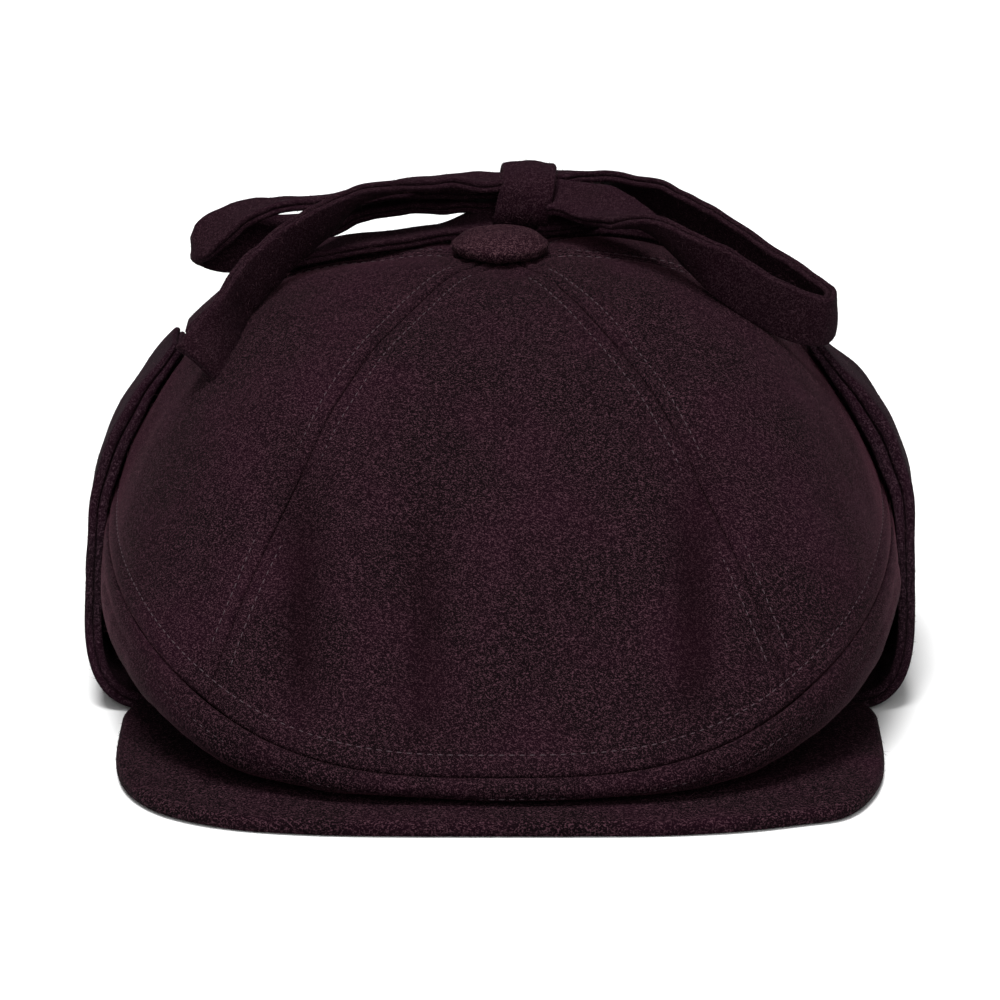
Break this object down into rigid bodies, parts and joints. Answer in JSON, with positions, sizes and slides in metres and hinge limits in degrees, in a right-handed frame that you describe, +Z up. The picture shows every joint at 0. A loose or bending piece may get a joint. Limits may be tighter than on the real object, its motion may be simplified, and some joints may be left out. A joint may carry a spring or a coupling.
{
  "type": "earflap flat cap",
  "caption": "Panelled wool flat cap with a stiff peak, a folded-up ear and neck flap, and its ties made into a bow on top of the crown.",
  "frame": {"origin": "under the middle of the whole cap, on the surface that it rests on", "axes": "+Z up through the crown, -Y the way the peak points, +X to the viewer's right when the peak faces the viewer"},
  "size_m": [0.2224, 0.2746, 0.1336],
  "materials": {
    "melton_crown": "fulled wool melton, dark wine, fine pink-grey nap",
    "melton_peak": "fulled wool melton over a stiff board",
    "melton_button": "wool melton drawn over a button",
    "melton_flap": "two plies of wool melton with an open edge",
    "melton_tie": "two-ply strap of wool melton, brushed edges",
    "band_cloth": "dark twill headband"
  },
  "bodies": {
    "root": {"crown_panel_front": "melton_crown", "crown_panel_front_right": "melton_crown", "crown_panel_back_right": "melton_crown", "crown_panel_back": "melton_crown", "crown_panel_back_left": "melton_crown", "crown_panel_front_left": "melton_crown", "crown_lower_wall": "melton_crown", "headband": "band_cloth", "peak": "melton_peak", "top_button": "melton_button", "ear_neck_flap": "melton_flap", "left_tie": "melton_tie", "right_tie": "melton_tie", "bow_knot": "melton_tie", "bow_left_loop": "melton_tie", "bow_left_tail": "melton_tie", "bow_right_loop": "melton_tie", "bow_right_tail": "melton_tie"}
  },
  "joints": []
}
